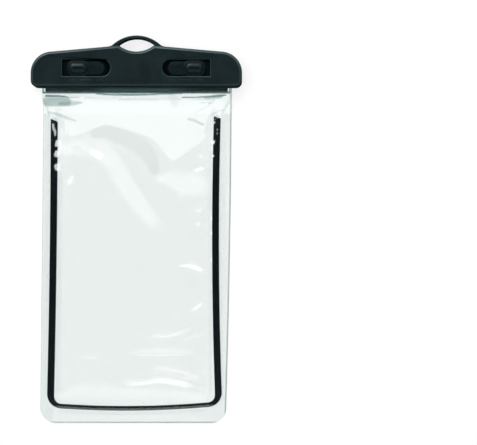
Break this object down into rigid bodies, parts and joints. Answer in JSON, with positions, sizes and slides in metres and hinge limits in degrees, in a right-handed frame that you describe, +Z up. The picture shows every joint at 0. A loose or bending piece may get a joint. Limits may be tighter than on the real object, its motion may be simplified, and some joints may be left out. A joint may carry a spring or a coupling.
{
  "type": "waterproof phone pouch",
  "caption": "Clear flexible pouch with a black edge strip, closed by a rigid sealing clamp with sliding locks and a hang loop, for keeping a phone dry.",
  "frame": {"origin": "middle of the footprint, on the surface that the pouch lies on", "axes": "+Z up from that surface and out of the pouch's front, +Y along the pouch towards the clamp and hang loop, +X to the right seen from the front"},
  "size_m": [0.119, 0.22, 0.0139],
  "materials": {
    "clamp_plastic": "satin black moulded plastic",
    "slider_plastic": "glossy black moulded plastic",
    "bar_plastic": "smooth black plastic under clear film",
    "seal_rubber": "soft black rubber",
    "strip_plastic": "glossy black soft plastic",
    "clear_film": "clear glossy flexible film"
  },
  "bodies": {
    "pouch": {"front_cover": "clamp_plastic", "back_cover": "clamp_plastic", "front_film_bar": "bar_plastic", "back_film_bar": "bar_plastic", "mouth_gasket": "seal_rubber", "edge_strip": "strip_plastic", "front_film": "clear_film", "back_film": "clear_film"},
    "left_lock": {"left_lock_slider": "slider_plastic"},
    "right_lock": {"right_lock_slider": "slider_plastic"}
  },
  "joints": [
    {"name": "left_lock_slide", "type": "slide", "parent": "pouch", "child": "left_lock", "axis": [1, 0, 0], "range_m": [0, 0.0032]},
    {"name": "right_lock_slide", "type": "slide", "parent": "pouch", "child": "right_lock", "axis": [-1, 0, 0], "range_m": [0, 0.0032]}
  ]
}
